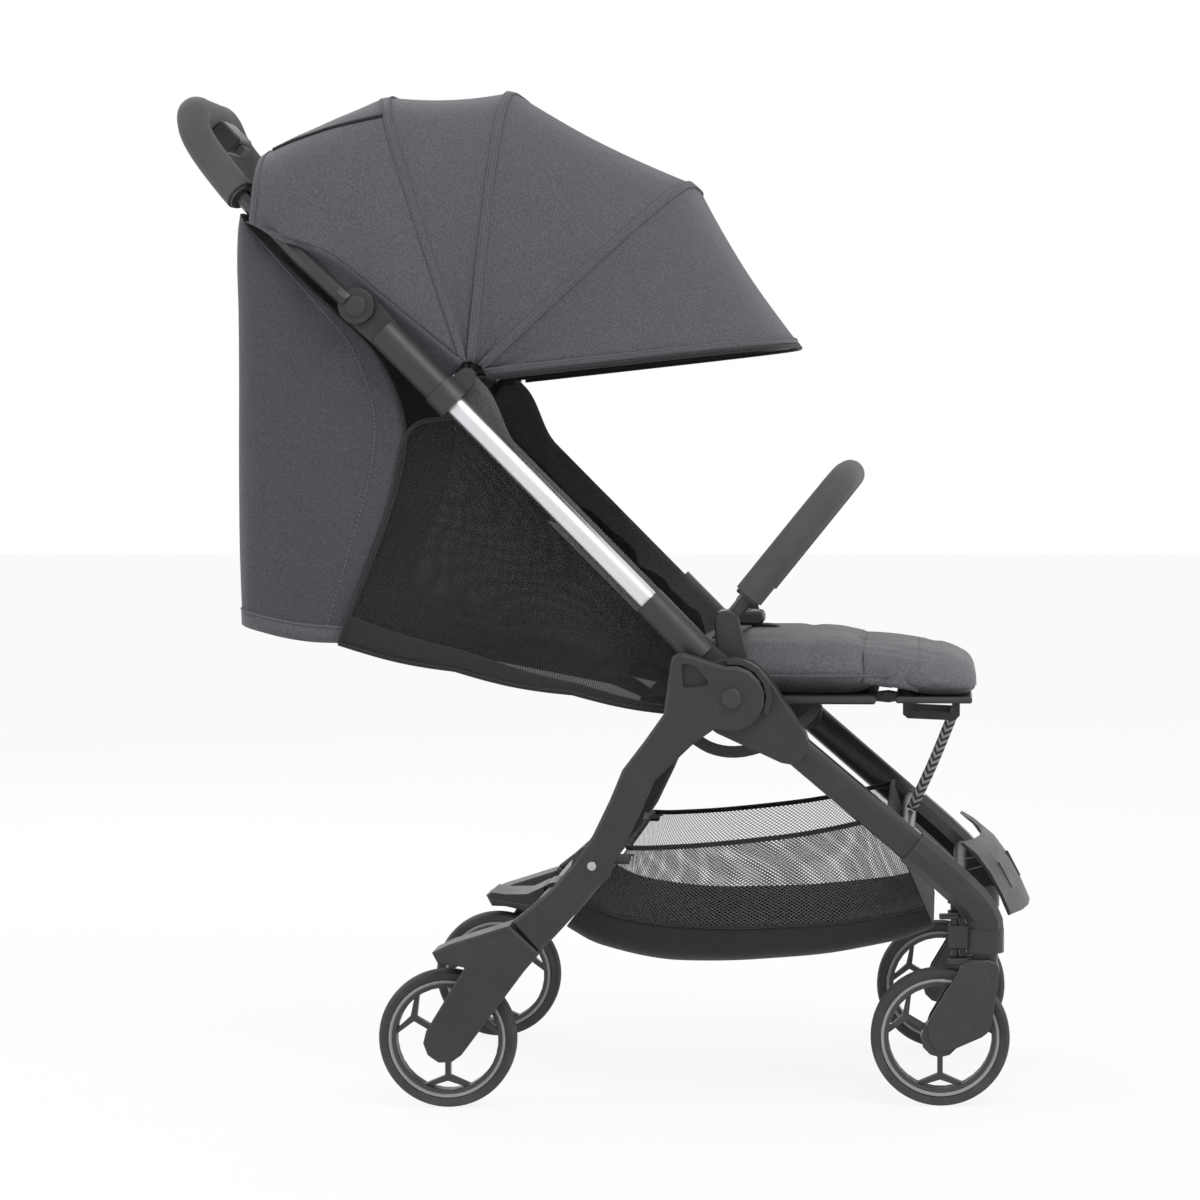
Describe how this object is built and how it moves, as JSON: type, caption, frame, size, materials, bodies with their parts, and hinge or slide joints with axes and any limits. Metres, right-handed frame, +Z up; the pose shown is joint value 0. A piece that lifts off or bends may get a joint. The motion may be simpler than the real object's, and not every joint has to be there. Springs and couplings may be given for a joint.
{
  "type": "folding stroller",
  "caption": "Lightweight folding stroller with a fan canopy, reclining seat, padded bumper bar, calf rest, swivelling front wheels and a mesh basket.",
  "frame": {"origin": "on the floor under the middle of the bounding box", "axes": "+X across towards the stroller's left, -Y the way it drives, +Z up"},
  "size_m": [0.495, 0.8841, 1.0315],
  "materials": {
    "black_plastic": "fine moulded grain",
    "frame_coat": "satin powder coat",
    "aluminium": "satin drawn tube",
    "steel": "bright wire",
    "tyre": "foamed rubber",
    "rim": "moulded",
    "grip_foam": "soft foam",
    "grey_fabric": "woven, grey",
    "black_mesh": "fine knitted mesh",
    "webbing": "woven tape"
  },
  "bodies": {
    "front_frame": {"front_leg_left": "frame_coat", "front_leg_right": "frame_coat", "front_cross_bar": "frame_coat", "footrest": "black_plastic", "hub_left": "black_plastic", "hub_right": "black_plastic", "seat_board": "black_plastic", "seat_pad": "grey_fabric", "buckle": "black_plastic", "lap_straps": "webbing", "basket": "black_mesh", "calf_strap": "webbing"},
    "upper_frame": {"lower_sleeve_left": "black_plastic", "lower_sleeve_right": "black_plastic", "upper_tube_left": "aluminium", "upper_tube_right": "aluminium", "upper_sleeve_left": "black_plastic", "upper_sleeve_right": "black_plastic", "canopy_clamp_left": "black_plastic", "canopy_clamp_right": "black_plastic", "rear_bow": "steel", "canopy_rear_cover": "grey_fabric", "side_panel_left": "black_mesh", "side_panel_right": "black_mesh", "rear_curtain": "grey_fabric"},
    "canopy_middle": {"middle_bow": "steel"},
    "canopy_front": {"front_bow": "steel", "canopy_cover": "grey_fabric"},
    "canopy_visor": {"visor_bow": "steel", "visor_cover": "grey_fabric"},
    "handle": {"handle_bar": "frame_coat", "handle_grip": "grip_foam", "fold_button_housing": "black_plastic"},
    "fold_button": {"fold_button": "grip_foam"},
    "bumper": {"bumper_bar": "black_plastic", "bumper_grip": "grip_foam"},
    "backrest": {"backrest_board": "black_plastic", "backrest_pad": "grey_fabric", "shoulder_straps": "webbing"},
    "leg_rest": {"calf_board": "black_plastic", "calf_pad": "grey_fabric"},
    "rear_frame": {"rear_leg_left": "black_plastic", "rear_leg_right": "black_plastic", "rear_cross_tube": "frame_coat"},
    "brake_pedal": {"brake_pedal": "black_plastic"},
    "buckle_button": {"buckle_button": "grip_foam"},
    "caster_left": {"caster_fork_left": "black_plastic"},
    "swivel_lock_left": {"swivel_lock_left": "black_plastic"},
    "front_wheel_left": {"front_tyre_left": "tyre", "front_rim_left": "rim"},
    "rear_wheel_left": {"rear_tyre_left": "tyre", "rear_rim_left": "rim"},
    "brake_pin_left": {"brake_pin_left": "steel"},
    "caster_right": {"caster_fork_right": "black_plastic"},
    "swivel_lock_right": {"swivel_lock_right": "black_plastic"},
    "front_wheel_right": {"front_tyre_right": "tyre", "front_rim_right": "rim"},
    "rear_wheel_right": {"rear_tyre_right": "tyre", "rear_rim_right": "rim"},
    "brake_pin_right": {"brake_pin_right": "steel"}
  },
  "joints": [
    {"name": "frame_fold", "type": "hinge", "parent": "front_frame", "child": "upper_frame", "pos_m": [0, -0.144, 0.416], "axis": [1, 0, 0], "range_deg": [0, 110], "deforming": ["side_panel_left", "side_panel_right", "rear_curtain"]},
    {"name": "rear_fold", "type": "hinge", "parent": "front_frame", "child": "rear_frame", "pos_m": [0, -0.144, 0.416], "axis": [1, 0, 0], "range_deg": [-80, 0], "deforming": ["basket"]},
    {"name": "handle_fold", "type": "hinge", "parent": "upper_frame", "child": "handle", "pos_m": [0, 0.2337, 0.80756], "axis": [-1, 0, 0], "range_deg": [0, 110], "deforming": ["canopy_rear_cover"]},
    {"name": "canopy_middle_turn", "type": "hinge", "parent": "upper_frame", "child": "canopy_middle", "pos_m": [0, 0.12389, 0.73608], "axis": [-1, 0, 0], "range_deg": [0, 17]},
    {"name": "canopy_front_turn", "type": "hinge", "parent": "upper_frame", "child": "canopy_front", "pos_m": [0, 0.12389, 0.73608], "axis": [-1, 0, 0], "range_deg": [0, 51], "deforming": ["canopy_cover"]},
    {"name": "canopy_visor_turn", "type": "hinge", "parent": "upper_frame", "child": "canopy_visor", "pos_m": [0, 0.12389, 0.73608], "axis": [-1, 0, 0], "range_deg": [0, 82], "deforming": ["visor_cover"]},
    {"name": "bumper_turn", "type": "hinge", "parent": "front_frame", "child": "bumper", "pos_m": [0, -0.136, 0.488], "axis": [1, 0, 0], "range_deg": [0, 40]},
    {"name": "backrest_recline", "type": "hinge", "parent": "front_frame", "child": "backrest", "pos_m": [0, -0.03, 0.424], "axis": [-1, 0, 0], "range_deg": [-55, 0], "deforming": ["shoulder_straps"]},
    {"name": "leg_rest_turn", "type": "hinge", "parent": "front_frame", "child": "leg_rest", "pos_m": [0, -0.296, 0.408], "axis": [1, 0, 0], "range_deg": [0, 60], "deforming": ["calf_strap"]},
    {"name": "brake_press", "type": "hinge", "parent": "rear_frame", "child": "brake_pedal", "pos_m": [0, 0.0565, 0.1902], "axis": [-1, 0, 0], "range_deg": [0, 20]},
    {"name": "fold_button_press", "type": "slide", "parent": "handle", "child": "fold_button", "axis": [0, 0.7022, 0.712], "range_m": [0, 0.006], "stiffness_N_per_m": 300},
    {"name": "buckle_button_press", "type": "slide", "parent": "front_frame", "child": "buckle_button", "axis": [0, 0, -1], "range_m": [0, 0.003], "stiffness_N_per_m": 400},
    {"name": "caster_swivel_left", "type": "hinge", "parent": "front_frame", "child": "caster_left", "pos_m": [0.1725, -0.395, 0.15], "axis": [0, 0, 1], "continuous": true},
    {"name": "swivel_lock_press_left", "type": "slide", "parent": "front_frame", "child": "swivel_lock_left", "axis": [0, 0, -1], "range_m": [0, 0.005]},
    {"name": "front_wheel_spin_left", "type": "hinge", "parent": "caster_left", "child": "front_wheel_left", "pos_m": [0.1725, -0.35, 0.06966], "axis": [1, 0, 0], "continuous": true},
    {"name": "rear_wheel_spin_left", "type": "hinge", "parent": "rear_frame", "child": "rear_wheel_left", "pos_m": [0.215, 0.145, 0.06966], "axis": [1, 0, 0], "continuous": true},
    {"name": "brake_pin_slide_left", "type": "slide", "parent": "rear_frame", "child": "brake_pin_left", "axis": [-1, 0, 0], "range_m": [0, 0.0115]},
    {"name": "caster_swivel_right", "type": "hinge", "parent": "front_frame", "child": "caster_right", "pos_m": [-0.1725, -0.395, 0.15], "axis": [0, 0, 1], "continuous": true},
    {"name": "swivel_lock_press_right", "type": "slide", "parent": "front_frame", "child": "swivel_lock_right", "axis": [0, 0, -1], "range_m": [0, 0.005]},
    {"name": "front_wheel_spin_right", "type": "hinge", "parent": "caster_right", "child": "front_wheel_right", "pos_m": [-0.1725, -0.35, 0.06966], "axis": [1, 0, 0], "continuous": true},
    {"name": "rear_wheel_spin_right", "type": "hinge", "parent": "rear_frame", "child": "rear_wheel_right", "pos_m": [-0.215, 0.145, 0.06966], "axis": [1, 0, 0], "continuous": true},
    {"name": "brake_pin_slide_right", "type": "slide", "parent": "rear_frame", "child": "brake_pin_right", "axis": [1, 0, 0], "range_m": [0, 0.0115]}
  ],
  "couplings": [
    {"joint": "rear_fold", "follows": "frame_fold", "ratio": -0.72727},
    {"joint": "canopy_middle_turn", "follows": "canopy_front_turn", "ratio": 0.33333},
    {"joint": "canopy_visor_turn", "follows": "canopy_front_turn", "ratio": 1.6},
    {"joint": "brake_pin_slide_left", "follows": "brake_press", "m_per_rad": 0.032945},
    {"joint": "brake_pin_slide_right", "follows": "brake_press", "m_per_rad": 0.032945}
  ]
}
